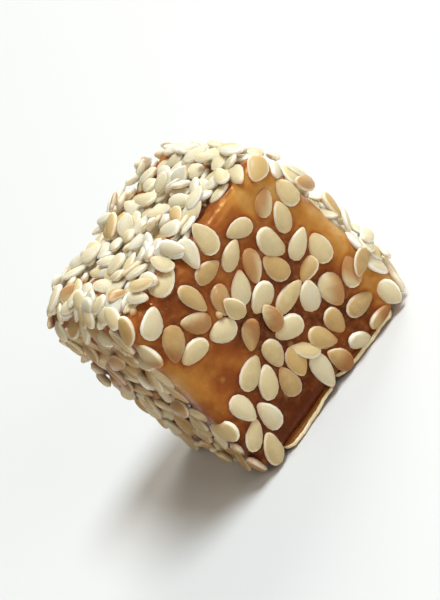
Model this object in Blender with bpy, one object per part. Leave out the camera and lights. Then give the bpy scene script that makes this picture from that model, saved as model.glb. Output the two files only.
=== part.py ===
"""A cube of sesame nougat: a hand-cut block of hard caramel in a coat of sesame seeds.

One solid. The seeds are fused to the block, and the cube stands on the seeds under it.
+Z is up, -Y is the side with the bare patches of caramel, and X is the longest side.
"""

import math

import bmesh
import bpy
import numpy as np

NAME = "nougat"

# Driving dimensions, in metres
CORE_HALF = np.array((0.00940, 0.00880, 0.00870))  # half of the block's sides, without its seeds
EDGE_RADIUS = 0.0014
FOOT_HEIGHT = 0.00042  # from the floor to the block's underside: the seeds under it are the feet
SEED_HALF_LENGTH = 0.00150
SEED_HALF_WIDTH = 0.00095
SEED_HEIGHT = 0.00048  # how far a seed's flat crown stands above the caramel
SEED_DEPTH = 0.00040  # how far its foot lies below it

# The form of a seed
SEED_SIDES = 7
CROWN_SPREAD = 0.78  # size of the crown over the seed's widest outline
FOOT_SPREAD = 1.06  # and of the foot, which is hidden in the caramel
POINT_TAPER = 0.24  # how much narrower the pointed half is than the middle
SEED_GAP = 0.94  # width of a modelled seed over the room that it takes
SIZE_SPREAD = 0.055  # how unequal the seeds are
SIZE_LIMIT = 0.12

# How the block was cut: a taper, a twist and low waves
TOP_SPREAD = 0.975
BASE_SPREAD = 1.012
TWIST = math.radians(2.5)
WAVE = 0.00018
WAVE_TURN = 230.0  # radians a metre

# The sides of the block: direction that each faces, how many seeds it holds, and their spread of tilt
SIDES = (
    ((0, -1, 0), 46, math.radians(5)),
    ((0, 0, 1), 59, math.radians(9)),
    ((-1, 0, 0), 55, math.radians(9)),
    ((1, 0, 0), 55, math.radians(9)),
    ((0, 1, 0), 53, math.radians(9)),
    ((0, 0, -1), 44, math.radians(5)),
)
TILT_LIMIT = 1.8  # most tilt of a seed over the spread on its side
# Bare caramel on the -Y side: the two ends of each patch (x, z) from its middle, and its radius
BARE_PATCHES = (
    ((-0.0056, 0.0004), (-0.0094, -0.0002), 0.0017),
    ((-0.0098, 0.0030), (-0.0098, -0.0016), 0.0012),
    ((0.0028, 0.0084), (0.0056, 0.0074), 0.0010),
    ((0.0086, 0.0024), (0.0086, -0.0014), 0.0008),
    ((-0.0020, -0.0076), (-0.0060, -0.0082), 0.0010),
)

# How the seeds find their places
RANDOM_SEED = 27
TRIES = 12  # places tried for each seed, of which the freest is taken
NOWHERE = (1.0, 1.0, 1.0)  # a far point, so that the first seed has a nearest one too
REACH = 0.0042  # furthest apart that two touching seeds' middles can be
RELAX_STEPS = 70
NEIGHBOUR_STEPS = 10  # steps between two searches for touching seeds
SEED_SHARE = 0.3  # share of an overlap that one step takes away from each of two seeds
EDGE_SHARE = 0.5  # and from a seed that lies on a bare patch or below the floor
TURN_SHARE = 0.5
TINY = 1e-9

# A seed's outline as three discs along its length
DISC_PLACES = np.array((-0.50, 0.0, 0.55)) * SEED_HALF_LENGTH
DISC_RADII = np.array((1.0, 0.98, 0.60)) * SEED_HALF_WIDTH

# Clean-up of the fused solid
WELD = 0.000002  # corners closer than this become one
FLAT_ANGLE = math.radians(3)  # facets closer in slope than this become one

MIDDLE = np.array((0.0, 0.0, FOOT_HEIGHT + CORE_HALF[2]))


def on_block(points):
    """Moves points, given from the block's middle, on to its rounded surface.

    Returns the moved points and the outward direction at each.
    """
    flat = CORE_HALF - EDGE_RADIUS
    inner = np.clip(points, -flat, flat)
    outward = points - inner
    outward /= np.linalg.norm(outward, axis=1, keepdims=True)
    return inner + EDGE_RADIUS * outward, outward


def as_cut(points):
    """The uneven form of the block, for points given from the middle of its foot."""
    x, y, z = points.T
    rise = z / (2 * MIDDLE[2])
    spread = BASE_SPREAD + (TOP_SPREAD - BASE_SPREAD) * rise
    turn = TWIST * (rise - 0.5)
    cut_x = spread * (x * np.cos(turn) - y * np.sin(turn))
    cut_y = spread * (x * np.sin(turn) + y * np.cos(turn))
    cut_x = cut_x + WAVE * np.sin(WAVE_TURN * (0.9 * y + 0.7 * z) + 0.6)
    cut_y = cut_y + WAVE * np.sin(WAVE_TURN * (1.1 * x - 0.8 * z) + 2.1)
    cut_z = z + rise * WAVE * np.sin(WAVE_TURN * (0.8 * x + 1.2 * y) + 4.0)
    return np.column_stack((cut_x, cut_y, cut_z))


def patch_distance(points):
    """How far each point lies from the edge of the nearest bare patch, and the way out of it."""
    nearest = np.full(points.shape[:-1], np.inf)
    away = np.zeros_like(points)
    for start, end, radius in BARE_PATCHES:
        a = np.array((start[0], -CORE_HALF[1], start[1]))
        b = np.array((end[0], -CORE_HALF[1], end[1]))
        along = np.clip((points - a) @ (b - a) / ((b - a) @ (b - a)), 0, 1)
        gap = points - (a + along[..., None] * (b - a))
        distance = np.linalg.norm(gap, axis=-1) - radius
        closer = distance < nearest
        nearest = np.where(closer, distance, nearest)
        away[closer] = gap[closer]
    return nearest, away


def scatter(rng):
    """Places seeds on every side, each at the freest of a few random places, clear of bare patches."""
    places = []
    headings = []
    side_of = []
    for side, (facing, count, _) in enumerate(SIDES):
        facing = np.array(facing, dtype=float)
        for _ in range(count):
            tries = rng.uniform(-1, 1, (TRIES, 3)) * CORE_HALF
            tries = np.where(facing == 0, tries, facing * CORE_HALF)
            gaps = np.linalg.norm(tries[:, None] - np.array([NOWHERE, *places]), axis=2)
            bare = patch_distance(tries)[0] < SEED_HALF_WIDTH
            room = np.where(bare, 0, gaps.min(axis=1))
            places.append(tries[room.argmax()])
            headings.append(rng.normal(size=3))
            side_of.append(side)
    return np.array(places), np.array(headings), np.array(side_of)


def tangent(headings, outward):
    """The headings laid along the surface, at unit length."""
    flat = headings - (headings * outward).sum(axis=1, keepdims=True) * outward
    return flat / np.linalg.norm(flat, axis=1, keepdims=True)


def neighbours(places):
    """The pairs of seeds that are close enough to touch."""
    gaps = np.linalg.norm(places[:, None] - places[None], axis=2)
    return np.nonzero(np.triu(gaps < REACH, 1))


def disc_pushes(discs, radii, pairs, stands):
    """The push on each disc, from the seeds next to it, the bare patches and the floor."""
    first, second = pairs
    apart = discs[first][:, :, None] - discs[second][:, None, :]
    distance = np.maximum(np.linalg.norm(apart, axis=3), TINY)
    overlap = np.maximum(radii[first][:, :, None] + radii[second][:, None, :] - distance, 0)
    push = SEED_SHARE * apart * (overlap / distance)[..., None]
    pushes = np.zeros_like(discs)
    np.add.at(pushes, first, push.sum(axis=2))
    np.add.at(pushes, second, -push.sum(axis=1))
    room, away = patch_distance(discs)
    bare = np.maximum(radii - room, 0)
    away_length = np.maximum(np.linalg.norm(away, axis=2), TINY)
    pushes += EDGE_SHARE * away * (bare / away_length)[..., None]
    below = np.maximum(radii - MIDDLE[2] - discs[..., 2], 0)
    pushes[..., 2] += EDGE_SHARE * below * stands[:, None]
    return pushes


def relax(places, headings, side_of, sizes):
    """Slides and turns the seeds on the surface until they hardly lie on each other."""
    places, outward = on_block(places)
    headings = tangent(headings, outward)
    radii = sizes[:, None] * DISC_RADII
    offsets = sizes[:, None] * DISC_PLACES
    stands = np.array([facing[2] >= 0 for facing, _, _ in SIDES])[side_of]
    for step in range(RELAX_STEPS):
        if step % NEIGHBOUR_STEPS == 0:
            pairs = neighbours(places)
        discs = places[:, None] + offsets[:, :, None] * headings[:, None]
        pushes = disc_pushes(discs, radii, pairs, stands)
        sideways = np.cross(outward, headings)
        torque = (offsets * (pushes * sideways[:, None]).sum(axis=2)).sum(axis=1)
        angle = TURN_SHARE * torque / (offsets**2).sum(axis=1)
        headings = headings + angle[:, None] * sideways
        places, outward = on_block(places + pushes.sum(axis=1))
        headings = tangent(headings, outward)
    return places, headings, outward


def lay_seeds():
    """Each seed of the coat: its middle, heading, outward direction, size, pitch and roll."""
    rng = np.random.default_rng(RANDOM_SEED)
    places, headings, side_of = scatter(rng)
    sizes = 1 + np.clip(SIZE_SPREAD * rng.normal(size=len(places)), -SIZE_LIMIT, SIZE_LIMIT)
    places, headings, outward = relax(places, headings, side_of, sizes)
    tilt = np.array([spread for _, _, spread in SIDES])[side_of]
    pitch = tilt * np.clip(rng.normal(size=len(places)), -TILT_LIMIT, TILT_LIMIT)
    roll = tilt * np.clip(rng.normal(size=len(places)), -TILT_LIMIT, TILT_LIMIT)
    return zip(places, headings, outward, sizes, pitch, roll)


def new_object(name, bm, collection):
    """An object with the bmesh as its mesh, in the collection."""
    mesh = bpy.data.meshes.new(name)
    bm.to_mesh(mesh)
    bm.free()
    item = bpy.data.objects.new(name, mesh)
    collection.objects.link(item)
    return item


def place_vertices(bm, points):
    """Moves the vertices to the points, uneven as the block was cut, and none below the floor."""
    cut = as_cut(points)
    cut[:, 2] = np.maximum(cut[:, 2], 0.0)
    for vertex, co in zip(bm.verts, cut):
        vertex.co = co


def build_core(collection):
    """The caramel block, with rounded edges."""
    bm = bmesh.new()
    bmesh.ops.create_cube(bm, size=2.0)
    bmesh.ops.subdivide_edges(bm, edges=bm.edges[:], cuts=3, use_grid_fill=True)
    grid = np.array([vertex.co[:] for vertex in bm.verts])
    flat = 1 - EDGE_RADIUS / CORE_HALF
    even = (-1, -0.5, 0, 0.5, 1)
    for axis in range(3):
        lines = (-1, -flat[axis], 0, flat[axis], 1)
        grid[:, axis] = CORE_HALF[axis] * np.interp(grid[:, axis], even, lines)
    points, _ = on_block(grid)
    place_vertices(bm, points + MIDDLE)
    return new_object(NAME, bm, collection)


def build_seed(name, collection, place, heading, outward, size, pitch, roll):
    """One drop-shaped seed with a flat crown, its foot sunk in the caramel."""
    bm = bmesh.new()
    bmesh.ops.create_cone(bm, cap_ends=True, segments=SEED_SIDES, radius1=1, radius2=1, depth=2)
    across, along, level = np.array([vertex.co[:] for vertex in bm.verts]).T
    spread = SEED_GAP * np.where(level > 0, CROWN_SPREAD, FOOT_SPREAD)
    across = spread * across * (1 - POINT_TAPER * along) * SEED_HALF_WIDTH
    along = spread * along * SEED_HALF_LENGTH
    up = np.where(level > 0, SEED_HEIGHT, -SEED_DEPTH)
    sideways = np.cross(outward, heading)
    nose = math.cos(pitch) * heading + math.sin(pitch) * outward
    side = math.cos(roll) * sideways + math.sin(roll) * np.cross(nose, sideways)
    frame = np.array((nose, side, np.cross(nose, side)))
    points = place + size * np.column_stack((along, across, up)) @ frame
    place_vertices(bm, points + MIDDLE)
    bmesh.ops.recalc_face_normals(bm, faces=bm.faces[:])
    new_object(name, bm, collection)


def fuse(core, seeds):
    """Joins every seed of the collection to the block, then removes the loose seeds."""
    union = core.modifiers.new("fuse seeds", "BOOLEAN")
    union.operation = "UNION"
    union.operand_type = "COLLECTION"
    union.collection = seeds
    union.solver = "EXACT"
    graph = bpy.context.evaluated_depsgraph_get()
    fused = bmesh.new()
    fused.from_mesh(core.evaluated_get(graph).data)
    bmesh.ops.remove_doubles(fused, verts=fused.verts[:], dist=WELD)
    bmesh.ops.dissolve_limit(fused, angle_limit=FLAT_ANGLE, verts=fused.verts[:], edges=fused.edges[:])
    bmesh.ops.triangulate(fused, faces=fused.faces[:])
    core.modifiers.clear()
    fused.to_mesh(core.data)
    fused.free()
    for seed in list(seeds.objects):
        bpy.data.objects.remove(seed, do_unlink=True)
    bpy.data.collections.remove(seeds)


def dress(item):
    """One plain look for the fused solid, between the caramel and the seeds."""
    material = bpy.data.materials.new("caramel")
    material.use_nodes = True
    shader = material.node_tree.nodes["Principled BSDF"]
    shader.inputs["Base Color"].default_value = (0.62, 0.45, 0.24, 1.0)
    shader.inputs["Roughness"].default_value = 0.4
    shader.inputs["Metallic"].default_value = 0.0
    item.data.materials.append(material)


def main():
    """Builds the nougat from nothing."""
    for item in list(bpy.data.objects):
        bpy.data.objects.remove(item, do_unlink=True)
    piece = bpy.data.collections.new(NAME)
    seeds = bpy.data.collections.new("seeds")
    for collection in (piece, seeds):
        bpy.context.scene.collection.children.link(collection)
    core = build_core(piece)
    for index, seed in enumerate(lay_seeds()):
        build_seed(f"seed_{index:03d}", seeds, *seed)
    fuse(core, seeds)
    dress(core)


main()
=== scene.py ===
"""The looks of one cube of sesame nougat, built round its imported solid.

A hand-cut block of hard caramel, its coat of hulled sesame seeds, the seeds caught loose on that
coat, the crumbs between them and the fine fins that the knife left along its edges. Every length
is in metres. +Z is up, and -Y is the thinly coated side with the bare patches.
"""

from __future__ import annotations

import logging
import math
from dataclasses import dataclass, field, replace
from enum import Enum

import bmesh
import bpy
import numpy as np
from mathutils import Matrix, Vector


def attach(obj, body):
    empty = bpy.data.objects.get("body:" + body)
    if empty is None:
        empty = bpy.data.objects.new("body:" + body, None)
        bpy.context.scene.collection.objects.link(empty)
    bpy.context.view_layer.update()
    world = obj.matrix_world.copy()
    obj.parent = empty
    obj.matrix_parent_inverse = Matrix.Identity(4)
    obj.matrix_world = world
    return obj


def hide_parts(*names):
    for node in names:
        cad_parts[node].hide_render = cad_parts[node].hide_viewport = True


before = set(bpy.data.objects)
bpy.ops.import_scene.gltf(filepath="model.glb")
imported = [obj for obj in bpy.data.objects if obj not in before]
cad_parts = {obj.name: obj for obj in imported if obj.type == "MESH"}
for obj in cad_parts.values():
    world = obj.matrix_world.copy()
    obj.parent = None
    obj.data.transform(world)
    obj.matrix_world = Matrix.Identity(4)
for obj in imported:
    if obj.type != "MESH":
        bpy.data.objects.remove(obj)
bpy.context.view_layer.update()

LOG = logging.getLogger("nougat")
BODY = "root"
NODE = "nougat"
TINY = 1e-9
NOWHERE = (1.0, 1.0, 1.0)  # a far point, so that the first seed has a nearest one too

Colour = tuple[float, float, float]
Point = tuple[float, float, float]
Span = tuple[float, float]
Socket = bpy.types.NodeSocket
Material = bpy.types.Material
Mesh = bpy.types.Mesh
Piece = bpy.types.Object
Faces = list[tuple[int, ...]]
Rows = np.ndarray
Draws = np.random.Generator


class Toast(Enum):
    """How far a seed was roasted, which settles its finish."""

    PALE = "pale"
    GOLDEN = "golden"
    BROWNED = "browned"


class Lie(Enum):
    """How a loose seed lies on the coat."""

    WEDGED = "wedged"
    RESTING = "resting"


class Board:
    """The node tree of one finish, which ends in one Principled shader."""

    def __init__(self, name: str) -> None:
        """Starts the tree of a new material.

        Args:
            name: The material's name.
        """
        self.material = bpy.data.materials.new(name)
        self.material.use_nodes = True
        self.tree = self.material.node_tree
        self.shader = self.tree.nodes["Principled BSDF"]
        self.place = self.node("ShaderNodeTexCoord").outputs["Object"]

    def node(self, kind: str, inputs: dict | None = None, **settings: object) -> bpy.types.Node:
        """Adds a node.

        Args:
            kind: Blender's name of the node type.
            inputs: Values or sockets for its inputs, by name or index.
            settings: Properties of the node itself.

        Returns:
            The new node.
        """
        made = self.tree.nodes.new(kind)
        for key, value in settings.items():
            setattr(made, key, value)
        for key, value in (inputs or {}).items():
            self.feed(made.inputs[key], value)
        return made

    def feed(self, socket: Socket, value: object) -> None:
        """Links a socket to the input, or sets the value on it.

        Args:
            socket: The input.
            value: A socket, a number, a colour or a list of numbers.
        """
        if isinstance(value, Socket):
            self.tree.links.new(value, socket)
        elif isinstance(value, tuple) and len(value) == 3 and socket.type == "RGBA":
            socket.default_value = (*value, 1.0)
        else:
            socket.default_value = value

    def noise(self, scale: float, detail: float = 2.0, shift: Point = (0.0, 0.0, 0.0)) -> Socket:
        """Soft noise on the piece's own coordinates.

        Args:
            scale: Lumps in a metre.
            detail: How many finer layers lie over it.
            shift: Shift of the pattern in metres.

        Returns:
            The noise, about 0.5 on average.
        """
        moved = self.node("ShaderNodeMapping", {"Vector": self.place, "Location": shift})
        inputs = {"Vector": moved.outputs[0], "Scale": scale, "Detail": detail}
        return self.node("ShaderNodeTexNoise", inputs).outputs["Fac"]

    def cloud(self, scale: float, to: Span, span: Span = (0.3, 0.7), *layers: object) -> Socket:
        """Soft noise, moved from one span of its values to another."""
        return self.remap(self.noise(scale, *layers), span, to)

    def specks(self, scale: float, span: Span, strength: float) -> Socket:
        """Small dots at random points. The span is that of their soft edge, in their spacing."""
        dots = self.node("ShaderNodeTexVoronoi", {"Vector": self.place, "Scale": scale})
        return self.remap(dots.outputs["Distance"], span, (strength, 0.0))

    def mark(self, name: str) -> Socket:
        """A number that the mesh carries at each vertex."""
        return self.node("ShaderNodeAttribute", attribute_name=name).outputs["Fac"]

    def sum(self, a: object, b: object) -> Socket:
        """One number added to another."""
        return self.node("ShaderNodeMath", {0: a, 1: b}, operation="ADD").outputs[0]

    def times(self, a: object, b: object) -> Socket:
        """One number times another."""
        return self.node("ShaderNodeMath", {0: a, 1: b}, operation="MULTIPLY").outputs[0]

    def remap(self, value: object, span: Span, to: Span) -> Socket:
        """Moves a number smoothly from one span to another, held at its ends."""
        inputs = {"Value": value, 1: span[0], 2: span[1], 3: to[0], 4: to[1]}
        return self.node("ShaderNodeMapRange", inputs, interpolation_type="SMOOTHSTEP").outputs[0]

    def ramp(self, value: object, stops: tuple[tuple[float, Colour], ...]) -> Socket:
        """A colour from a row of colours.

        Args:
            value: Where on the row, from 0 to 1.
            stops: Each place and its colour.

        Returns:
            The colour.
        """
        node = self.node("ShaderNodeValToRGB", {"Fac": value})
        bar = node.color_ramp.elements
        while len(bar) < len(stops):
            bar.new(0.5)
        for element, (place, colour) in zip(bar, stops):
            element.position = place
            element.color = (*colour, 1.0)
        return node.outputs["Color"]

    def mix(self, share: object, a: object, b: object, blend: str = "MIX") -> Socket:
        """One colour under a share of a second one."""
        inputs = {0: share, 6: a, 7: b}
        return self.node("ShaderNodeMix", inputs, data_type="RGBA", blend_type=blend).outputs[2]

    def tint(self, a: object, b: object) -> Socket:
        """One colour times another."""
        return self.mix(1.0, a, b, "MULTIPLY")

    def bump(self, height: object, strength: float, depth: float, below: object = None) -> Socket:
        """A fine relief in the shading.

        Args:
            height: Its height, from 0 to 1.
            strength: How much of it shows.
            depth: Its depth, in metres.
            below: The normal of a relief under this one.

        Returns:
            The normal.
        """
        inputs = {"Height": height, "Strength": strength, "Distance": depth}
        if below is not None:
            inputs["Normal"] = below
        return self.node("ShaderNodeBump", inputs).outputs[0]

    def finish(self, **sockets: object) -> Material:
        """Feeds the shader.

        Args:
            sockets: A value or socket for each input, whose name has low lines for spaces.

        Returns:
            The finished material.
        """
        for name, value in sockets.items():
            label = name.replace("_", " ").title().replace("Ior", "IOR")
            self.feed(self.shader.inputs[label], value)
        return self.material


@dataclass(frozen=True)
class CaramelFinish:
    """Hard caramel, red-brown in its painted shade and clear amber in its painted glow, where light
    comes through it.
    """

    name: str = "hard caramel"
    # The ramp's colours, from the darkest painted shade to the brightest painted glow
    deepest_shade: Colour = (0.085, 0.014, 0.004)
    body: Colour = (0.262, 0.065, 0.013)
    amber: Colour = (0.440, 0.183, 0.034)
    honey: Colour = (0.555, 0.335, 0.108)
    film: Colour = (0.520, 0.280, 0.100)
    glow_radius: Point = (1.0, 0.34, 0.08)
    glow_depth: float = 0.0022
    glow: float = 0.28

    def material(self) -> Material:
        """Makes the finish.

        Returns:
            The material, which reads the marks "thin" (its painted glow and shade) and "dust" of
            the mesh.
        """
        board = Board(self.name)
        cloud = board.cloud(300.0, (-0.15, 0.15), (0.34, 0.66), 3.0)
        streak = board.cloud(700.0, (-0.06, 0.06), (0.3, 0.7), 2.0, (0.02, 0.0, 0.0))
        # Painted glow and shade from the mesh, with the caramel's own mottling of cloud and streaks
        light = board.sum(board.sum(board.mark("glow_and_shade"), cloud), streak)
        stops = ((0.0, self.deepest_shade), (0.38, self.body), (0.70, self.amber), (1.0, self.honey))
        colour = board.ramp(light, stops)
        bubbles = board.specks(1500.0, (0.08, 0.18), 0.16)
        colour = board.mix(bubbles, colour, self.honey)
        pockets = board.specks(300.0, (0.05, 0.13), 0.34)
        colour = board.mix(pockets, colour, self.honey)
        smear = board.cloud(1900.0, (0.0, 1.0), (0.46, 0.66), 3.0)
        colour = board.mix(board.times(board.mark("dust"), smear), colour, self.film)
        waves = board.bump(board.noise(560.0), 0.6, 0.00030)
        skin = board.bump(board.noise(3600.0, 3.0), 0.30, 0.00004, waves)
        return board.finish(
            base_color=colour,
            roughness=board.cloud(900.0, (0.15, 0.36), (0.3, 0.7), 3.0),
            normal=skin,
            subsurface_weight=self.glow,
            subsurface_radius=self.glow_radius,
            subsurface_scale=self.glow_depth,
            specular_ior_level=0.32,
            specular_tint=(1.0, 0.46, 0.16, 1.0),
            coat_weight=0.015,
            coat_roughness=0.12,
        )


@dataclass(frozen=True)
class FinFinish:
    """Caramel drawn out so fine that it is nearly clear, painted pale along its lip as a highlight.
    """

    name: str = "drawn caramel"
    clear: Colour = (0.36, 0.12, 0.022)
    # The pale colour of the painted highlight along the lip
    painted_highlight: Colour = (0.90, 0.63, 0.38)

    def material(self) -> Material:
        """Makes the finish.

        Returns:
            The material, which reads the mark "lip" of the mesh.
        """
        board = Board(self.name)
        edge = board.sum(board.mark("lip"), board.cloud(1500.0, (-0.12, 0.12)))
        # Painted highlight: the fin is painted pale along its lip, where it catches the light
        pale = board.remap(edge, (0.45, 0.75), (0.0, 1.0))
        return board.finish(
            base_color=board.mix(pale, self.clear, self.painted_highlight),
            roughness=board.cloud(1200.0, (0.2, 0.45)),
            normal=board.bump(board.noise(2600.0), 0.5, 0.00006),
            subsurface_weight=0.5,
            subsurface_radius=(1.0, 0.5, 0.2),
            subsurface_scale=0.0012,
        )


@dataclass(frozen=True)
class SeedFinish:
    """The skinless sesame seed: matte, with a lighter rim, partly painted highlight, round a
    faintly darker face.
    """

    name: str
    shades: tuple[Colour, ...]
    rim_tone_and_highlight: Colour = (0.95, 0.90, 0.78)
    warm_face: Colour = (0.74, 0.67, 0.50)
    cool_face: Colour = (0.68, 0.67, 0.62)
    stain: Colour = (0.52, 0.21, 0.045)
    syrup: Colour = (0.62, 0.33, 0.12)
    stain_share: float = 0.55
    glaze: float = 0.0
    roughness: float = 0.55

    def material(self) -> Material:
        """Makes the finish.

        Returns:
            The material, which reads the marks "tone", "chill", "rim", "tip", "foot" and "syrup".
        """
        board = Board(self.name)
        last = len(self.shades) - 1
        stops = tuple((index / last, shade) for index, shade in enumerate(self.shades))
        colour = board.ramp(board.mark("tone"), stops)
        face = board.remap(board.mark("rim"), (0.40, 0.76), (1.0, 0.0))
        # The rim is lighter: partly the seed's own tone, partly a painted highlight where light
        # wraps it
        edge = board.remap(board.mark("rim"), (0.50, 0.84), (0.0, 0.60))
        colour = board.mix(edge, colour, self.rim_tone_and_highlight)
        dimming = board.mix(board.mark("chill"), self.warm_face, self.cool_face)
        colour = board.mix(face, colour, board.tint(colour, dimming))
        mottle = board.cloud(1700.0, (0.0, 0.34), (0.36, 0.66), 4.0)
        colour = board.mix(board.times(mottle, board.sum(face, 0.3)), colour, self.shades[0])
        speck = board.cloud(6500.0, (0.0, 0.22), (0.55, 0.72))
        colour = board.mix(speck, colour, board.tint(colour, self.warm_face))
        point = board.remap(board.mark("tip"), (0.86, 1.0), (0.0, 0.5))
        colour = board.mix(point, colour, self.stain)
        film = board.cloud(420.0, (0.5, 1.0), (0.42, 0.62), 2.0, (0.0, 0.03, 0.0))
        stained = board.times(board.times(board.mark("foot"), film), self.stain_share)
        colour = board.mix(stained, colour, self.stain)
        coated = board.times(board.mark("syrup"), 0.9)
        colour = board.mix(coated, colour, board.tint(colour, self.syrup))
        smooth, rough = self.roughness - 0.08, self.roughness + 0.1
        return board.finish(
            base_color=colour,
            roughness=board.cloud(2400.0, (smooth, rough)),
            normal=board.bump(board.noise(5200.0, 3.0), 0.35, 0.00003),
            subsurface_weight=0.32,
            subsurface_radius=(1.0, 0.74, 0.48),
            subsurface_scale=0.0007,
            coat_weight=self.glaze,
            coat_roughness=0.22,
        )


SEED_FINISHES = {
    Toast.PALE: SeedFinish(
        "hulled sesame",
        (
            (0.66, 0.52, 0.28),
            (0.79, 0.65, 0.39),
            (0.88, 0.76, 0.51),
            (0.92, 0.85, 0.66),
            # The whitest shade is reached only where a side's least tone is raised: painted light
            (0.92, 0.89, 0.79),
        ),
    ),
    Toast.GOLDEN: SeedFinish(
        "golden sesame",
        ((0.56, 0.36, 0.14), (0.70, 0.49, 0.21), (0.80, 0.61, 0.31)),
        stain_share=0.7,
        glaze=0.1,
    ),
    Toast.BROWNED: SeedFinish(
        "browned sesame",
        ((0.44, 0.22, 0.07), (0.60, 0.36, 0.14), (0.72, 0.48, 0.22)),
        stain_share=0.85,
        glaze=0.3,
        roughness=0.42,
    ),
}


@dataclass(frozen=True)
class PlainFinish:
    """The pale matte floor."""

    name: str = "pale floor"
    colour: Colour = (0.70, 0.69, 0.67)
    worn: Colour = (0.6, 0.6, 0.6)

    def material(self) -> Material:
        """Makes the finish.

        Returns:
            The material, with a trace of unevenness.
        """
        board = Board(self.name)
        shade = board.cloud(9.0, (0.0, 0.03))
        return board.finish(base_color=board.mix(shade, self.colour, self.worn), roughness=0.9)


def new_piece(mesh: Mesh, material: Material) -> Piece:
    """Puts a finished mesh in the scene as a smooth piece of the same name.

    Args:
        mesh: The mesh, in place.
        material: Its finish.

    Returns:
        The new object, which sits at the origin.
    """
    mesh.shade_smooth()
    mesh.materials.append(material)
    piece = bpy.data.objects.new(mesh.name, mesh)
    bpy.context.scene.collection.objects.link(piece)
    return piece


def fit_on(mesh: Mesh, material: Material, replaces: bool) -> Piece:
    """Makes a piece and ties it to the solid's body.

    Args:
        mesh: Its mesh, in place.
        material: Its finish.
        replaces: Whether the piece stands for the solid.

    Returns:
        The new object.
    """
    piece = new_piece(mesh, material)
    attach(piece, BODY)
    if replaces:
        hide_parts(NODE)
    return piece


def set_marks(mesh: Mesh, marks: dict[str, Rows]) -> None:
    """Writes numbers on a mesh.

    Args:
        mesh: The mesh.
        marks: One number for each vertex, under each name.
    """
    for name, values in marks.items():
        mark = mesh.attributes.new(name, "FLOAT", "POINT")
        mark.data.foreach_set("value", np.ascontiguousarray(values, dtype=np.float32).ravel())


def form_of(bm: bmesh.types.BMesh) -> tuple[Rows, Faces]:
    """Reads a small form and frees it.

    Args:
        bm: The form.

    Returns:
        Its vertices and its faces.
    """
    points = np.array([vertex.co[:] for vertex in bm.verts])
    faces = [tuple(vertex.index for vertex in face.verts) for face in bm.faces]
    bm.free()
    return points, faces


def joined_copies(name: str, points: Rows, faces: Faces, marks: dict) -> Mesh:
    """Joins many copies of one form as one mesh.

    Args:
        name: The mesh's name.
        points: The vertices of each copy.
        faces: The faces of one copy.
        marks: Numbers for the vertices of each copy, by name.

    Returns:
        The mesh.
    """
    copies, size = points.shape[:2]
    joined = [tuple(v + copy * size for v in face) for copy in range(copies) for face in faces]
    mesh = bpy.data.meshes.new(name)
    mesh.from_pydata(points.reshape(-1, 3).tolist(), [], joined)
    set_marks(mesh, {key: np.broadcast_to(mark, (copies, size)) for key, mark in marks.items()})
    return mesh


def smooth_step(values: Rows, low: float, high: float) -> Rows:
    """0 below low, 1 above high, and a soft curve between them."""
    share = np.clip((values - low) / (high - low), 0.0, 1.0)
    return share * share * (3.0 - 2.0 * share)


def off_line(points: Rows, start: Point, end: Point) -> Rows:
    """How far points lie from a line.

    Args:
        points: The points, in rows.
        start: One end of the line.
        end: Its other end.

    Returns:
        The vector from the nearest place on the line to each point.
    """
    a, b = np.array(start), np.array(end)
    along = np.clip((points - a) @ (b - a) / ((b - a) @ (b - a)), 0, 1)
    return points - (a + along[..., None] * (b - a))


@dataclass
class SeedBed:
    """Where a set of seeds lies. Every array has one row for each seed."""

    places: Rows
    headings: Rows
    outward: Rows
    sizes: Rows
    pitch: Rows
    roll: Rows
    lift: Rows
    side_of: Rows

    @property
    def sideways(self) -> Rows:
        """The direction across each seed, along the surface."""
        return np.cross(self.outward, self.headings)

    def frames(self) -> Rows:
        """How the seeds are turned.

        Returns:
            Each seed's directions: to its point, to its side, and out through its crown.
        """
        pitch, roll = self.pitch[:, None], self.roll[:, None]
        nose = np.cos(pitch) * self.headings + np.sin(pitch) * self.outward
        side = np.cos(roll) * self.sideways + np.sin(roll) * np.cross(nose, self.sideways)
        return np.stack((nose, side, np.cross(nose, side)), axis=1)

    def joined(self, other: SeedBed) -> SeedBed:
        """This bed and another as one."""
        pairs = ((getattr(self, name), getattr(other, name)) for name in self.__dataclass_fields__)
        return SeedBed(*(np.concatenate(pair) for pair in pairs))

    def only(self, chosen: Rows) -> SeedBed:
        """The chosen seeds of the bed."""
        return SeedBed(*(getattr(self, name)[chosen] for name in self.__dataclass_fields__))


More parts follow.
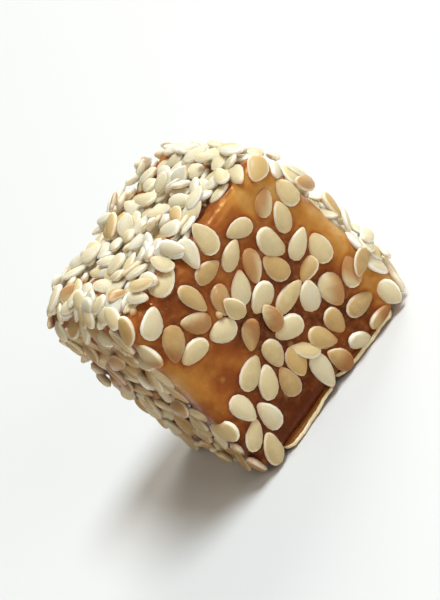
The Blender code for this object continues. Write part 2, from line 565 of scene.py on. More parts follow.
@dataclass
class Block:
    """The hand-cut block of caramel."""

    half: Rows = field(default_factory=lambda: np.array((0.00940, 0.00880, 0.00870)))
    edge_radius: float = 0.0014
    foot_height: float = 0.00042
    # How it was cut: a taper, a twist and low waves
    top_spread: float = 0.975
    base_spread: float = 1.012
    twist: float = math.radians(2.5)
    wave: float = 0.00018
    wave_turn: float = 230.0
    # Bare caramel on the -Y side: two ends of each patch (x, z) from the middle, and its radius
    bare_patches: tuple = (
        ((-0.0056, 0.0004), (-0.0094, -0.0002), 0.0017),
        ((-0.0098, 0.0030), (-0.0098, -0.0016), 0.0012),
        ((0.0028, 0.0084), (0.0056, 0.0074), 0.0010),
        ((0.0086, 0.0024), (0.0086, -0.0014), 0.0008),
        ((-0.0020, -0.0076), (-0.0060, -0.0082), 0.0010),
    )
    # Painted glow where light comes through the caramel, and then painted shade where it lies in
    # shadow: two ends, reach, and how much lighter the caramel is painted there
    glow_and_shade_spots: tuple = (
        ((-0.0090, -0.0088, 0.0010), (-0.0084, -0.0088, -0.0040), 0.0034, 0.17),
        ((-0.0046, -0.0088, 0.0002), (-0.0066, -0.0088, -0.0020), 0.0030, 0.14),
        ((0.0002, -0.0088, 0.0087), (0.0070, -0.0088, 0.0080), 0.0032, 0.17),
        ((0.0094, -0.0088, 0.0060), (0.0094, -0.0088, -0.0070), 0.0030, 0.34),
        ((0.0062, -0.0088, -0.0040), (0.0080, -0.0088, -0.0078), 0.0030, 0.34),
        ((0.0050, -0.0088, 0.0060), (0.0090, -0.0088, 0.0046), 0.0030, 0.15),
        ((-0.0094, -0.0080, 0.0040), (-0.0094, 0.0040, 0.0050), 0.0030, 0.30),
        ((0.0094, 0.0060, 0.0060), (0.0094, -0.0030, -0.0050), 0.0036, 0.40),
        ((0.0030, 0.0088, -0.0020), (-0.0050, 0.0088, 0.0040), 0.0040, 0.42),
        ((-0.0060, 0.0012, 0.0087), (0.0060, 0.0020, 0.0087), 0.0054, 0.52),
        ((0.0006, -0.0088, -0.0026), (0.0022, -0.0088, -0.0034), 0.0018, -0.24),
        ((0.0000, -0.0088, -0.0020), (0.0046, -0.0088, -0.0036), 0.0036, -0.24),
        ((-0.0090, -0.0088, -0.0087), (0.0046, -0.0088, -0.0087), 0.0036, -0.30),
        ((-0.0094, -0.0088, -0.0062), (-0.0050, -0.0088, -0.0070), 0.0026, -0.16),
        ((-0.0094, -0.0050, -0.0044), (-0.0094, 0.0060, -0.0040), 0.0056, -0.18),
    )
    # The plain level of the caramel's painted light, and a painted glow along every edge
    base_light: float = 0.27
    edge_light: float = 0.16
    edge_reach: float = 0.0016
    # Painted contact shadow: how much darker the caramel is painted where a seed comes out of it
    contact_shadow: float = 0.22
    lump: float = 0.000030
    swell: float = 0.00009
    meniscus: float = 0.00010
    meniscus_reach: float = 0.00026
    # Syrup dust where seeds lie and how much more on the bare caramel, within an edge this wide
    least_dust: float = 0.02
    bare_dust: float = 0.10
    bare_edge: Span = (-0.0004, 0.0006)
    lines: int = 119
    finish: CaramelFinish = CaramelFinish()

    @property
    def middle(self) -> Rows:
        """The block's middle, from the middle of its foot."""
        return np.array((0.0, 0.0, self.foot_height + self.half[2]))

    def off_flats(self, points: Rows) -> tuple[Rows, Rows]:
        """The nearest places within the block's flat sides, and the vectors from there."""
        inner = np.clip(points, self.edge_radius - self.half, self.half - self.edge_radius)
        return inner, points - inner

    def on_surface(self, points: Rows) -> tuple[Rows, Rows]:
        """Moves points, given from the block's middle, on to its rounded surface.

        Args:
            points: The points, in rows.

        Returns:
            The moved points and the outward direction at each.
        """
        inner, outward = self.off_flats(points)
        outward /= np.maximum(np.linalg.norm(outward, axis=1, keepdims=True), TINY)
        return inner + self.edge_radius * outward, outward

    def height_over(self, points: Rows) -> Rows:
        """How far points, given from the block's middle, lie outside its surface."""
        return np.linalg.norm(self.off_flats(points)[1], axis=-1) - self.edge_radius

    def as_cut(self, points: Rows) -> Rows:
        """Gives points the uneven form of the block, and holds them above the floor.

        Args:
            points: The points, from the block's middle.

        Returns:
            The points in the frame of the whole piece, in the same rows.
        """
        x, y, z = (points.reshape(-1, 3) + self.middle).T
        rise = z / (2 * self.middle[2])
        spread = self.base_spread + (self.top_spread - self.base_spread) * rise
        turn = self.twist * (rise - 0.5)
        cut_x = spread * (x * np.cos(turn) - y * np.sin(turn))
        cut_y = spread * (x * np.sin(turn) + y * np.cos(turn))
        cut_x = cut_x + self.wave * np.sin(self.wave_turn * (0.9 * y + 0.7 * z) + 0.6)
        cut_y = cut_y + self.wave * np.sin(self.wave_turn * (1.1 * x - 0.8 * z) + 2.1)
        cut_z = z + rise * self.wave * np.sin(self.wave_turn * (0.8 * x + 1.2 * y) + 4.0)
        return np.column_stack((cut_x, cut_y, np.maximum(cut_z, 0.0))).reshape(points.shape)

    def patch_distance(self, points: Rows) -> tuple[Rows, Rows]:
        """How far each point lies from the nearest bare patch, and the way out of it.

        Args:
            points: The points, from the block's middle.

        Returns:
            The distances from the patch's edge, and the vectors from the patch's middle line.
        """
        nearest = np.full(points.shape[:-1], np.inf)
        away = np.zeros_like(points)
        for start, end, radius in self.bare_patches:
            a, b = ((x, -self.half[1], z) for x, z in (start, end))
            gap = off_line(points, a, b)
            distance = np.linalg.norm(gap, axis=-1) - radius
            closer = distance < nearest
            nearest = np.where(closer, distance, nearest)
            away[closer] = gap[closer]
        return nearest, away

    def relief(self, points: Rows, coat: SeedCoat, bed: SeedBed) -> tuple[Rows, Rows]:
        """The height of the caramel's skin over the plain block.

        Args:
            points: The points of its surface, from the block's middle.
            coat: The sizes of a seed.
            bed: The seeds that lie in the caramel.

        Returns:
            One height for each point, and how near it is to where a seed comes out of the caramel.
        """
        x, y, z = points.T
        lumps = np.sin(930 * x + 2.2 * np.sin(610 * y + 1.0))
        lumps = lumps * np.sin(870 * z + 1.7 * np.sin(540 * x + 2.0))
        swell = np.sin(410 * x + 1.3) * np.sin(455 * y + 0.4) * np.sin(430 * z + 2.2)
        climb = np.zeros(len(points))
        reach = coat.half_length + 3 * self.meniscus_reach
        seeds = zip(bed.places, bed.headings, bed.sideways, bed.sizes)
        for place, heading, sideways, size in seeds:
            near = np.nonzero(np.linalg.norm(points - place, axis=1) < reach)[0]
            gap = points[near] - place
            along = gap @ heading / (size * coat.half_length * coat.gap)
            across = gap @ sideways / (size * coat.half_width * coat.gap)
            across = across / np.maximum(1 - coat.taper * np.clip(along, -1, 1), TINY)
            outside = (np.hypot(along, across) - 0.96) * coat.half_width
            climb[near] = np.maximum(climb[near], np.exp(-((outside / self.meniscus_reach) ** 2)))
        return self.lump * lumps + self.swell * swell + self.meniscus * climb, climb

    def painted_glow_and_shade(self, points: Rows) -> Rows:
        """The painted light and shade of the caramel.

        Args:
            points: The points, from the block's middle.

        Returns:
            A number for each, from 0 in its deepest painted shade to 1 in its brightest painted
            glow.
        """
        # Painted glow along the edges, then painted glow and painted shade in spots
        edges = np.sort(self.half - np.abs(points), axis=1)[:, 1]
        light = self.base_light + self.edge_light * np.exp(-edges / self.edge_reach)
        for start, end, reach, amount in self.glow_and_shade_spots:
            distance = np.linalg.norm(off_line(points, start, end), axis=-1)
            light += amount * np.exp(-((distance / reach) ** 2))
        return np.clip(light, 0.0, 1.0)

    def build(self, coat: SeedCoat, bed: SeedBed) -> Piece:
        """Builds the block and dresses it.

        Args:
            coat: The sizes of a seed.
            bed: The seeds that lie in the caramel.

        Returns:
            The block.
        """
        bm = bmesh.new()
        bmesh.ops.create_cube(bm, size=2.0)
        bmesh.ops.subdivide_edges(bm, edges=bm.edges[:], cuts=self.lines, use_grid_fill=True)
        mesh = bpy.data.meshes.new("caramel_block")
        bm.to_mesh(mesh)
        bm.free()
        grid = np.empty(len(mesh.vertices) * 3)
        mesh.vertices.foreach_get("co", grid)
        points, outward = self.on_surface(grid.reshape(-1, 3) * self.half)
        height, climb = self.relief(points, coat, bed)
        placed = self.as_cut(points + height[:, None] * outward)
        mesh.vertices.foreach_set("co", placed.ravel())
        # Painted light and shade of the caramel, less a painted contact shadow round each seed
        glow_and_shade = np.clip(self.painted_glow_and_shade(points) - self.contact_shadow * climb**2, 0, 1)
        bare = smooth_step(self.patch_distance(points)[0], *self.bare_edge)
        set_marks(mesh, {"glow_and_shade": glow_and_shade, "dust": self.least_dust + self.bare_dust * bare})
        mesh.update()
        return fit_on(mesh, self.finish.material(), True)


@dataclass(frozen=True)
class Side:
    """One side of the block and the seeds on it."""

    facing: Point
    count: int  # seeds that lie in the caramel
    tilt: float  # how unevenly they lie, in degrees
    wedged: int  # loose seeds caught on edge between them
    resting: int  # loose seeds lying on them
    # These four also paint light and shade: whiter seeds on lit sides, darker ones on the -X side
    golden_and_shaded_from: float  # random draws over these make a seed golden or browned
    browned_and_shaded_from: float
    least_tone_and_light: float  # how light the darkest seeds are
    foot_stain_and_shade: float  # how strongly the caramel stains their feet
    broad: float  # how broad the seeds look beside the plain form
    filmed: float = 0.06  # share of seeds that lie partly under syrup


@dataclass
class SeedCoat:
    """The coat of hulled sesame seeds, and the seeds caught loose on it."""

    block: Block
    half_length: float = 0.00150
    half_width: float = 0.00095
    height: float = 0.00048
    half_thick: float = 0.00041
    gap: float = 0.94
    taper: float = 0.24
    size_spread: float = 0.055
    size_limit: float = 0.12
    # Per side, tone, roast and stain also paint light and shade: whiter seeds on the lit top and
    # the sides beside it, darker, more golden and more stained ones on the shaded -X side (third
    # row)
    sides: tuple = (
        Side((0, -1, 0), 46, 5, 2, 3, 0.66, 0.955, 0.05, 1.0, 1.09, 0.13),
        Side((0, 0, 1), 59, 9, 14, 150, 0.92, 0.98, 0.50, 0.5, 0.98),
        Side((-1, 0, 0), 55, 9, 5, 16, 0.44, 0.83, 0.0, 1.0, 1.03),
        Side((1, 0, 0), 55, 9, 12, 98, 0.90, 0.98, 0.40, 0.5, 1.0),
        Side((0, 1, 0), 53, 9, 12, 98, 0.86, 0.97, 0.32, 0.6, 1.0),
        Side((0, 0, -1), 44, 5, 0, 0, 0.80, 0.95, 0.15, 0.8, 1.03),
    )
    # How the seeds in the caramel find their places, as in the solid
    layout_seed: int = 27
    tilt_limit: float = 1.8
    tries: int = 12
    reach: float = 0.0042
    relax_steps: int = 70
    neighbour_steps: int = 10
    seed_share: float = 0.3
    edge_share: float = 0.5
    turn_share: float = 0.5
    # How the loose seeds find theirs
    loose_seed: int = 5
    loose_tries: int = 32
    loose_size: float = 0.86
    loose_reach: float = 0.91  # share of a side's width that they lie on
    loose_floor: float = 0.0016  # how far above the block's underside they stay
    steepest: float = math.tan(math.radians(38))
    sink: float = 0.00010  # how far one sinks into those under it
    bite: float = 0.30  # and how much further where it touches few of them
    lean_spread: float = math.tan(math.radians(13))
    under: float = 0.3  # how nearly the seeds under one face its way
    # What counts against a loose seed's place: air under it, a bare patch, and a far corner of
    # the side. Room beside other seeds counts for it.
    air_cost: float = 1.4
    bare_cost: float = 1.0
    corner_cost: float = 0.0014
    corner: Span = (0.62, 0.92)
    room_worth: float = 0.6
    wedge_roll: Span = (28, 60)  # in degrees, and so is the pitch
    wedge_pitch: float = 10
    wedge_lift: Span = (-0.00008, 0.00018)
    # How each seed differs from the plain form
    look_seed: int = 11
    around: int = 8
    rings: int = 8
    taper_range: Span = (0.62, 1.2)
    pinch_range: Span = (0.0, 0.30)
    width_range: Span = (0.82, 1.08)
    wobble_range: Span = (-0.06, 0.06)
    dent_range: Span = (-0.04, 0.13)
    bend_range: Span = (-0.12, 0.12)
    length_range: Span = (0.83, 1.03)
    thick_range: Span = (0.9, 1.06)
    tone_range: Span = (0.0, 0.78)
    film_reach: Span = (-0.5, 0.4)
    film_edge: Span = (-0.25, 0.35)
    stain_edge: Span = (0.00002, 0.00034)

    @property
    def disc_places(self) -> Rows:
        """Where along a seed the three discs of its outline lie."""
        return np.array((-0.50, 0.0, 0.55)) * self.half_length

    @property
    def disc_radii(self) -> Rows:
        """How wide those discs are."""
        return np.array((1.0, 0.98, 0.60)) * self.half_width

    def of_side(self, name: str, side_of: Rows) -> Rows:
        """One value of its side for each seed."""
        return np.array([getattr(side, name) for side in self.sides])[side_of]

    def varied(self, count: int, rng: Draws) -> Rows:
        """How much larger or smaller than usual each of some seeds is."""
        spread = self.size_spread * rng.normal(size=count)
        return 1 + np.clip(spread, -self.size_limit, self.size_limit)

    def uneven(self, count: int, rng: Draws) -> Rows:
        """Random slopes about level, none too steep."""
        return np.clip(rng.normal(size=count), -self.tilt_limit, self.tilt_limit)

    def scatter(self, rng: Draws) -> tuple[Rows, Rows, Rows]:
        """Drops seeds on every side, each at the freest of a few random places.

        Args:
            rng: The random draws.

        Returns:
            Places, headings, and the side that each seed lies on.
        """
        half = self.block.half
        side_of = np.repeat(np.arange(len(self.sides)), [side.count for side in self.sides])
        places: list[Rows] = []
        headings: list[Rows] = []
        for facing in self.of_side("facing", side_of):
            tries = rng.uniform(-1, 1, (self.tries, 3)) * half
            tries = np.where(facing == 0, tries, facing * half)
            gaps = np.linalg.norm(tries[:, None] - np.array([NOWHERE, *places]), axis=2)
            bare = self.block.patch_distance(tries)[0] < self.half_width
            room = np.where(bare, 0, gaps.min(axis=1))
            places.append(tries[room.argmax()])
            headings.append(rng.normal(size=3))
        return np.array(places), np.array(headings), side_of

    @staticmethod
    def tangent(headings: Rows, outward: Rows) -> Rows:
        """The headings laid along the surface, at unit length."""
        flat = headings - (headings * outward).sum(axis=1, keepdims=True) * outward
        return flat / np.linalg.norm(flat, axis=1, keepdims=True)

    def disc_pushes(self, discs: Rows, radii: Rows, pairs: tuple, stands: Rows) -> Rows:
        """The push on each disc, from the seeds next to it, the bare patches and the floor.

        Args:
            discs: The three discs of each seed.
            radii: Their radii.
            pairs: The seeds that may touch.
            stands: Whether a seed is kept off the floor.

        Returns:
            One vector for each disc.
        """
        first, second = pairs
        apart = discs[first][:, :, None] - discs[second][:, None, :]
        distance = np.maximum(np.linalg.norm(apart, axis=3), TINY)
        overlap = np.maximum(radii[first][:, :, None] + radii[second][:, None, :] - distance, 0)
        push = self.seed_share * apart * (overlap / distance)[..., None]
        pushes = np.zeros_like(discs)
        np.add.at(pushes, first, push.sum(axis=2))
        np.add.at(pushes, second, -push.sum(axis=1))
        room, away = self.block.patch_distance(discs)
        bare = np.maximum(radii - room, 0)
        away_length = np.maximum(np.linalg.norm(away, axis=2), TINY)
        pushes += self.edge_share * away * (bare / away_length)[..., None]
        below = np.maximum(radii - self.block.middle[2] - discs[..., 2], 0)
        pushes[..., 2] += self.edge_share * below * stands[:, None]
        return pushes

    def relax(
        self, places: Rows, headings: Rows, side_of: Rows, sizes: Rows
    ) -> tuple[Rows, Rows, Rows]:
        """Slides and turns the seeds on the surface until they hardly lie on each other.

        Args:
            places: Where the seeds were dropped.
            headings: Which way they point.
            side_of: The side that each lies on.
            sizes: How large each is.

        Returns:
            Their places, headings and outward directions.
        """
        places, outward = self.block.on_surface(places)
        headings = self.tangent(headings, outward)
        radii = sizes[:, None] * self.disc_radii
        offsets = sizes[:, None] * self.disc_places
        stands = self.of_side("facing", side_of)[:, 2] >= 0
        for step in range(self.relax_steps):
            if step % self.neighbour_steps == 0:
                gaps = np.linalg.norm(places[:, None] - places[None], axis=2)
                pairs = np.nonzero(np.triu(gaps < self.reach, 1))
            discs = places[:, None] + offsets[:, :, None] * headings[:, None]
            pushes = self.disc_pushes(discs, radii, pairs, stands)
            sideways = np.cross(outward, headings)
            torque = (offsets * (pushes * sideways[:, None]).sum(axis=2)).sum(axis=1)
            angle = self.turn_share * torque / (offsets**2).sum(axis=1)
            headings = headings + angle[:, None] * sideways
            places, outward = self.block.on_surface(places + pushes.sum(axis=1))
            headings = self.tangent(headings, outward)
        return places, headings, outward

    def lay(self) -> SeedBed:
        """Lays the coat, seed for seed as the solid has it.

        Returns:
            The seeds that lie in the caramel.
        """
        rng = np.random.default_rng(self.layout_seed)
        places, headings, side_of = self.scatter(rng)
        count = len(places)
        sizes = self.varied(count, rng)
        places, headings, outward = self.relax(places, headings, side_of, sizes)
        tilt = np.radians(self.of_side("tilt", side_of))
        pitch, roll = tilt * self.uneven(count, rng), tilt * self.uneven(count, rng)
        return SeedBed(places, headings, outward, sizes, pitch, roll, np.zeros(count), side_of)

    def room_at(self, points: Rows, bed: SeedBed) -> Rows:
        """How far points lie from the nearest seed.

        Args:
            points: The points, from the block's middle.
            bed: The seeds.

        Returns:
            The distance of each point from the outline of its nearest seed.
        """
        offsets = bed.sizes[:, None] * self.disc_places
        discs = (bed.places[:, None] + offsets[:, :, None] * bed.headings[:, None]).reshape(-1, 3)
        radii = (bed.sizes[:, None] * self.disc_radii).ravel()
        return (np.linalg.norm(points[:, None] - discs, axis=2) - radii).min(axis=1)

    def footprint(self) -> tuple[Rows, Rows]:
        """Where a seed may touch what it lies on.

        Returns:
            Points under it, along and across it, and how far its underside hangs down there.
        """
        rings = ((0.0, 1), (0.55, 6), (0.90, 8))
        reach, turn = np.array(
            [(reach, k * (math.tau / count)) for reach, count in rings for k in range(count)]
        ).T
        oval = np.column_stack((self.half_length * np.cos(turn), self.half_width * np.sin(turn)))
        return reach[:, None] * (self.gap * oval), self.half_thick * np.sqrt(1 - reach**2)

    def crowns(self, points: Rows, seeds: SeedBed, below: SeedBed) -> Rows:
        """How high the topmost thing stands at points under each of some seeds.

        Args:
            points: The points, in one row for each seed.
            seeds: The seeds, still in the air.
            below: The seeds that lie there already.

        Returns:
            The heights over the caramel at each seed's own place.
        """
        ground = self.block.on_surface(points.reshape(-1, 3))[0].reshape(points.shape)
        nose, side, up = below.frames().transpose(1, 0, 2)
        raised = below.lift + self.height - self.half_thick
        middle = below.places + raised[:, None] * below.outward
        gap = points[:, :, None] - middle
        along, across = (gap * nose).sum(axis=3), (gap * side).sum(axis=3)
        long, wide = (self.gap * below.sizes * size for size in (self.half_length, self.half_width))
        inside = 1 - (along / long) ** 2 - (across / wide) ** 2
        dome = self.half_thick * np.sqrt(np.maximum(inside, 0))
        crown = middle + along[..., None] * nose + across[..., None] * side + dome[..., None] * up
        high = ((crown - seeds.places[:, None, None]) * seeds.outward[:, None, None]).sum(axis=3)
        high = np.where(inside > 0, high, -np.inf).max(axis=2)
        low = ((ground - seeds.places[:, None]) * seeds.outward[:, None]).sum(axis=2)
        return np.maximum(high, low)

    def settle(self, seeds: SeedBed, below: SeedBed, lean: Rows) -> tuple[SeedBed, Rows]:
        """Lets seeds down, each on its own, until they lie on the coat.

        Args:
            seeds: The seeds, with their places and headings.
            below: The seeds that lie there already.
            lean: How much further than the coat they slope, along and across themselves.

        Returns:
            The same seeds, tilted and lifted as they come to rest, and the air under each.
        """
        spots, hang = self.footprint()
        ahead = spots[:, :1] * seeds.headings[:, None]
        points = seeds.places[:, None] + ahead + spots[:, 1:] * seeds.sideways[:, None]
        high = self.crowns(points, seeds, below)
        fit = np.linalg.pinv(np.column_stack((spots, np.ones(len(spots)))))
        slope = lean + high @ fit.T[:, :2]
        steep = np.linalg.norm(slope, axis=1, keepdims=True)
        slope = slope * np.minimum(1, self.steepest / np.maximum(steep, TINY))
        needed = high - slope @ spots.T + hang
        rise = needed.max(axis=1) - self.bite * (needed.max(axis=1) - needed.mean(axis=1))
        lift = rise - self.sink - (self.height - self.half_thick)
        pitch, roll = np.arctan(slope).T
        return replace(seeds, pitch=pitch, roll=roll, lift=lift), rise - needed.mean(axis=1)

    def wedge(self, seeds: SeedBed, rng: Draws) -> SeedBed:
        """Sets seeds on edge in the coat.

        Args:
            seeds: The seeds, with their places and headings.
            rng: The random draws.

        Returns:
            The same seeds, tilted.
        """
        count = len(seeds.sizes)
        roll = rng.choice((-1.0, 1.0), count) * np.radians(rng.uniform(*self.wedge_roll, count))
        pitch = np.radians(rng.normal(size=count) * self.wedge_pitch)
        return replace(seeds, pitch=pitch, roll=roll, lift=rng.uniform(*self.wedge_lift, count))

    def lay_one(self, index: int, lie: Lie, bed: SeedBed, rng: Draws) -> SeedBed:
        """Lays one loose seed at the best of many random places.

        Args:
            index: The side that it lies on.
            lie: How it lies.
            bed: The seeds that lie there already.
            rng: The random draws.

        Returns:
            The seed.
        """
        half, count = self.block.half, self.loose_tries
        facing = np.array(self.sides[index].facing, dtype=float)
        lean = self.lean_spread * self.uneven(2, rng) * (index > 0)
        tries = rng.uniform(-self.loose_reach, self.loose_reach, (count, 3)) * half
        tries[:, 2] = np.maximum(tries[:, 2], -half[2] + self.loose_floor)
        places, outward = self.block.on_surface(np.where(facing == 0, tries, facing * half))
        headings = self.tangent(rng.normal(size=(count, 3)), outward)
        sizes = self.loose_size * self.varied(count, rng)
        still = np.zeros(count)
        side_of = np.full(count, index)
        seeds = SeedBed(places, headings, outward, sizes, still, still, still, side_of)
        room = self.room_at(places, bed)
        if lie is Lie.WEDGED:
            seeds = self.wedge(seeds, rng)
            cost = -room
        else:
            seeds, air = self.settle(seeds, bed.only(bed.outward @ facing > self.under), lean)
            cost = seeds.lift + self.air_cost * air - self.room_worth * room
        bare = self.block.patch_distance(places)[0] < self.half_width
        corner = np.sort(np.abs(places) / half, axis=1)[:, 0]
        cost = cost + self.bare_cost * bare
        cost = cost + self.corner_cost * smooth_step(corner, *self.corner)
        return seeds.only(np.array([cost.argmin()]))

    def lay_loose(self, bed: SeedBed) -> SeedBed:
        """Lays the seeds caught on the coat: a few wedged in its gaps, most resting on it.

        Args:
            bed: The coat under them.

        Returns:
            The coat and the loose seeds.
        """
        rng = np.random.default_rng(self.loose_seed)
        for index, side in enumerate(self.sides):
            for lie in [Lie.WEDGED] * side.wedged + [Lie.RESTING] * side.resting:
                bed = bed.joined(self.lay_one(index, lie, bed, rng))
        return bed

    def shape(self, ball: Rows, bed: SeedBed, rng: Draws) -> Rows:
        """Shapes one drop-formed seed for each row of a bed.

        Args:
            ball: The vertices of a plain ball, with the seed's length along the third axis.
            bed: The seeds.
            rng: The random draws.

        Returns:
            Each seed's vertices: along it, across it and up through its crown.
        """

        def draw(low: float, high: float) -> Rows:
            """One random number for each seed."""
            return rng.uniform(low, high, (len(bed.sizes), 1))

        across, up, along = ball.T[:, None, :]
        girth = np.sqrt(np.maximum(1 - along**2, TINY))
        turn_across, turn_up = across / girth, up / girth
        point = np.maximum(along, 0)
        taper = self.taper * draw(*self.taper_range)
        pinch = 1 - draw(*self.pinch_range) * point**3
        width = girth * (1 - taper * along) * pinch * draw(*self.width_range)
        wobble = draw(*self.wobble_range) * np.sin(3.0 * along + draw(0, 6))
        wobble = 1 + wobble * np.sign(turn_across)
        flat = np.sign(turn_up) * np.abs(turn_up) ** 0.86
        dent = draw(*self.dent_range).clip(0) * np.exp(-((turn_across / 0.4) ** 2))
        dent = dent * np.exp(-(((along + 0.1) / 0.55) ** 2))
        thick = girth**0.85 * (flat - dent * (turn_up > 0)) * (1 - 0.10 * along)
        bend = draw(*self.bend_range) * along**2
        broad = self.of_side("broad", bed.side_of)[:, None]
        length = self.gap * self.half_length * (along + 0.05 * point**4)
        length = length * draw(*self.length_range) * broad
        sideways = self.gap * self.half_width * (turn_across * width * wobble + bend) * broad
        crown = self.half_thick * thick * draw(*self.thick_range)
        return np.stack((length, sideways, self.height - self.half_thick + crown), axis=2)

    def build(self, bed: SeedBed) -> list[Piece]:
        """Builds every seed, one piece for each roast.

        Args:
            bed: All the seeds, the loose ones among them.

        Returns:
            The pieces.
        """
        rng = np.random.default_rng(self.look_seed)
        bm = bmesh.new()
        bmesh.ops.create_uvsphere(bm, u_segments=self.around, v_segments=self.rings, radius=1.0)
        ball, faces = form_of(bm)
        count, side_of = len(bed.sizes), bed.side_of
        draw = rng.uniform(size=count)
        roast = (draw > self.of_side("golden_and_shaded_from", side_of)).astype(int)
        roast += draw > self.of_side("browned_and_shaded_from", side_of)
        local = self.shape(ball, bed, rng) * bed.sizes[:, None, None]
        points = bed.places[:, None] + bed.lift[:, None, None] * bed.outward[:, None]
        points = points + local @ bed.frames()
        tone = self.of_side("least_tone_and_light", side_of) + rng.uniform(*self.tone_range, count)
        chill = rng.uniform(size=count)
        # The film of syrup on a seed ends along a slanting line
        slant, reach = rng.uniform(0, math.tau, count), rng.uniform(*self.film_reach, count)
        filmed = rng.uniform(size=count) < self.of_side("filmed", side_of)
        ahead = np.outer(np.cos(slant), ball[:, 2]) + np.outer(np.sin(slant), ball[:, 0])
        stain = 1 - smooth_step(self.block.height_over(points), *self.stain_edge)
        marks = {
            "tone": np.minimum(tone, 1.0)[:, None],
            "chill": chill[:, None],
            "rim": 1 - np.clip(ball[None, :, 1], 0, 1),
            "tip": (1 + ball[None, :, 2]) / 2,
            "foot": stain * self.of_side("foot_stain_and_shade", side_of)[:, None],
            "syrup": filmed[:, None] * smooth_step(ahead - reach[:, None], *self.film_edge),
        }
        placed = self.block.as_cut(points)
        marks = {key: np.broadcast_to(mark, placed.shape[:2]) for key, mark in marks.items()}
        pieces = []
        for index, toast in enumerate(Toast):
            chosen = roast == index
            own = {key: mark[chosen] for key, mark in marks.items()}
            mesh = joined_copies(f"sesame_{toast.value}", placed[chosen], faces, own)
            pieces.append(fit_on(mesh, SEED_FINISHES[toast].material(), True))
        return pieces


@dataclass
class Crumbs:
    """Broken bits of seed that stick between the whole ones."""

    block: Block
    coat: SeedCoat
    count: int = 80
    tries_each: int = 8
    small: float = 0.00010
    large: float = 0.00034
    room: Span = (-0.00010, 0.00045)  # how far from the nearest seed they lie
    edge: float = 0.001  # how far they stay from the thin side's face and the underside
    thin_share: float = 0.12  # share of them that the thin side keeps
    squash: Span = (0.25, 1.6)
    rough: Span = (0.75, 1.2)
    stand: float = 0.3  # how far one stands out, in its own size
    draw_seed: int = 8
    finish: SeedFinish = SeedFinish(
        "sesame crumb",
        ((0.50, 0.30, 0.11), (0.66, 0.47, 0.22), (0.78, 0.64, 0.40)),
        stain_share=0.6,
    )

    def build(self, bed: SeedBed) -> Piece:
        """Builds the crumbs in the gaps between the seeds.

        Args:
            bed: The seeds that they lie between.

        Returns:
            The crumbs, as one piece.
        """
        rng = np.random.default_rng(self.draw_seed)
        bm = bmesh.new()
        bmesh.ops.create_icosphere(bm, subdivisions=1, radius=1.0)
        ball, faces = form_of(bm)
        half = self.block.half
        tries = rng.uniform(-1, 1, (self.count * self.tries_each, 3))
        tries /= np.abs(tries).max(axis=1, keepdims=True)
        spots, outward = self.block.on_surface(tries * half)
        room = self.coat.room_at(spots, bed)
        kept = rng.uniform(size=len(spots)) < self.thin_share
        kept = kept | (spots[:, 1] > -half[1] + self.edge)
        near = (room > self.room[0]) & (room < self.room[1]) & (spots[:, 2] > -half[2] + self.edge)
        good = np.nonzero(near & kept)[0][: self.count]
        spots, outward = spots[good], outward[good]
        count = len(spots)
        size = self.small + (self.large - self.small) * rng.uniform(size=(count, 1, 1)) ** 2
        squash = rng.uniform(*self.squash, (count, 1, 3))
        form = ball * squash * rng.uniform(*self.rough, (count, len(ball), 1)) * size
        placed = self.block.as_cut(spots[:, None] + self.stand * size * outward[:, None] + form)
        marks = {"tone": rng.uniform(size=(count, 1)), "rim": 0.6, "foot": 0.3}
        marks |= {"chill": 0.0, "tip": 0.0, "syrup": 0.0}
        mesh = joined_copies("sesame_crumbs", placed, faces, marks)
        return fit_on(mesh, self.finish.material(), False)


@dataclass
class CutFin:
    """A fine fin of caramel that the knife drew out along an edge and that broke off."""

    block: Block
    name: str
    start: Point
    end: Point
    lean: Point
    height: float = 0.00072
    end_height: float = 0.00072
    sheet: float = 0.00010
    lip: float = 0.00034
    lip_depth: float = 0.00028
    foot: float = 0.00012
    curl: float = 0.00004
    top_curl: float = 0.00005
    steps: int = 60
    layers: int = 7
    finish: FinFinish = FinFinish()

    def build(self) -> Piece:
        """Builds the fin and dresses it.

        Returns:
            The fin.
        """
        bm = bmesh.new()
        bmesh.ops.create_cube(bm, size=2.0)
        for axis, cuts in ((0, self.steps), (2, self.layers)):
            edges = [e for e in bm.edges if abs((e.verts[0].co - e.verts[1].co)[axis]) > 1]
            bmesh.ops.subdivide_edges(bm, edges=edges, cuts=cuts, use_grid_fill=True)
        grid = np.array([vertex.co[:] for vertex in bm.verts])
        along, across, level = (1 + grid[:, 0]) / 2, grid[:, 1], ((1 + grid[:, 2]) / 2) ** 0.6
        start, end = np.array(self.start), np.array(self.end)
        lean = np.array(self.lean) / np.linalg.norm(self.lean)
        run = (end - start) / np.linalg.norm(end - start)
        thick = np.cross(run, lean)
        u = along * 9
        ragged = 0.94 + 0.04 * np.sin(2.3 * u) + 0.02 * np.sin(7.1 * u + 1.0)
        ragged = ragged * np.sqrt(np.minimum(1, 14 * along) * np.minimum(1, 7 * (1 - along)))
        curl = self.curl * np.sin(1.1 * u) + self.top_curl * level**2 * np.sin(0.8 * u + 0.7)
        tall = (self.height + (self.end_height - self.height) * along) * ragged
        hang = tall * (1 - level)
        bead = 1 - smooth_step(hang, 0.6 * self.lip_depth, self.lip_depth)
        rise = level * tall - self.foot * (1 - level)
        round_off = np.sqrt(np.clip(hang / (0.4 * self.lip_depth), 0.15, 1))
        width = (self.sheet + (self.lip - self.sheet) * bead) * round_off / 2
        points = start + along[:, None] * (end - start) + rise[:, None] * lean
        points = points + (curl + across * width)[:, None] * thick
        for vertex, co in zip(bm.verts, self.block.as_cut(points)):
            vertex.co = co
        bmesh.ops.recalc_face_normals(bm, faces=bm.faces[:])
        mesh = bpy.data.meshes.new(self.name)
        bm.to_mesh(mesh)
        bm.free()
        set_marks(mesh, {"lip": bead})
        return fit_on(mesh, self.finish.material(), False)


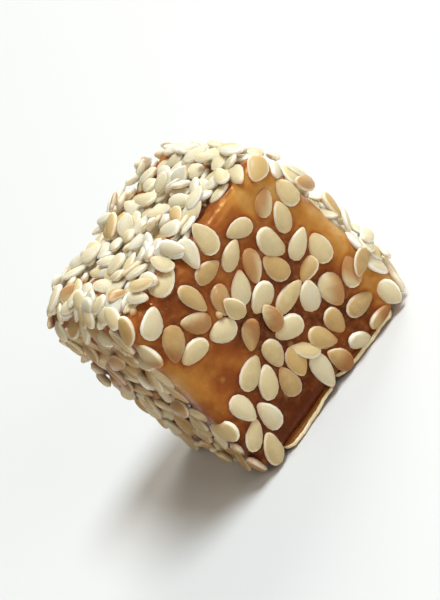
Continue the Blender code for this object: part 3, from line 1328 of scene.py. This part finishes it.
@dataclass
class Studio:
    """The pale floor, the soft light and the camera."""

    floor_half: float = 0.9
    azimuth: float = math.radians(-11.4)
    elevation: float = math.radians(22.4)
    roll: float = math.radians(48.8)
    distance: float = 0.365
    lens: float = 267.0
    aim: Point = (0.0, 0.0, 0.0094)
    world_light: float = 0.29
    world_colour: Colour = (1.0, 0.95, 0.85)
    # Each soft light: direction from the piece, distance, size, power and colour
    lights: tuple = (
        ((0.45, -0.22, 0.95), 0.50, 0.20, 2.70, (0.84, 0.93, 1.0)),
        ((0.75, 0.60, 0.40), 0.50, 0.32, 1.6, (1.0, 0.98, 0.94)),
        ((0.35, -1.00, 0.45), 0.60, 0.26, 0.78, (1.0, 0.95, 0.88)),
        ((-1.00, -0.30, 0.10), 0.55, 0.34, 0.36, (1.0, 0.70, 0.40)),
    )

    def lay_floor(self) -> None:
        """Lays the floor under the piece."""
        bm = bmesh.new()
        bmesh.ops.create_grid(bm, x_segments=4, y_segments=4, size=self.floor_half)
        mesh = bpy.data.meshes.new("floor")
        bm.to_mesh(mesh)
        bm.free()
        new_piece(mesh, PlainFinish().material())

    def light_up(self) -> None:
        """Hangs the soft lights and the even sky."""
        for index, (direction, distance, size, power, colour) in enumerate(self.lights):
            lamp = bpy.data.lights.new(f"soft_light_{index}", "AREA")
            lamp.shape = "DISK"
            lamp.size, lamp.energy, lamp.color = size, power, colour
            holder = bpy.data.objects.new(lamp.name, lamp)
            bpy.context.scene.collection.objects.link(holder)
            out = Vector(direction).normalized()
            holder.location = Vector(self.aim) + distance * out
            holder.rotation_euler = (-out).to_track_quat("-Z", "Y").to_euler()
        world = bpy.data.worlds.new("even sky")
        world.use_nodes = True
        sky = world.node_tree.nodes["Background"]
        sky.inputs["Color"].default_value = (*self.world_colour, 1.0)
        sky.inputs["Strength"].default_value = self.world_light
        bpy.context.scene.world = world

    def set_camera(self) -> None:
        """Sets the camera at the photograph's angle."""
        level, rise = math.cos(self.elevation), math.sin(self.elevation)
        back = Vector((math.sin(self.azimuth) * level, -math.cos(self.azimuth) * level, rise))
        pose = (-back).to_track_quat("-Z", "Y").to_matrix().to_4x4()
        pose = pose @ Matrix.Rotation(-self.roll, 4, "Z")
        pose.translation = Vector(self.aim) + self.distance * back
        view = bpy.data.cameras.new("view")
        view.lens = self.lens
        view.clip_start, view.clip_end = 0.01, 10.0
        camera = bpy.data.objects.new("view", view)
        camera.matrix_world = pose
        bpy.context.scene.collection.objects.link(camera)
        bpy.context.scene.camera = camera

    def build(self) -> None:
        """Builds the studio and sets how its light is shown."""
        self.lay_floor()
        self.light_up()
        self.set_camera()
        bpy.context.scene.view_settings.view_transform = "Standard"


def main() -> None:
    """Builds the dressed nougat and its studio."""
    logging.basicConfig(level=logging.INFO, format="%(name)s: %(message)s")
    block = Block()
    coat = SeedCoat(block)
    bed = coat.lay()
    everything = coat.lay_loose(bed)
    edge = (-0.00817, -0.00845)
    upper = CutFin(block, "cut_fin_upper", (0.0073, *edge), (0.0002, *edge), (0, -0.80, -0.60))
    lower = CutFin(block, "cut_fin_lower", (-0.0003, *edge), (-0.0070, *edge), (0, -0.85, -0.52))
    lower.height, lower.end_height = 0.00060, 0.00115
    pieces = [block.build(coat, bed), *coat.build(everything)]
    pieces += [Crumbs(block, coat).build(bed), upper.build(), lower.build()]
    for piece in pieces:
        mesh = piece.data
        LOG.info("%s: %d vertices, %d faces", piece.name, len(mesh.vertices), len(mesh.polygons))
    Studio().build()


if __name__ == "__main__":
    main()
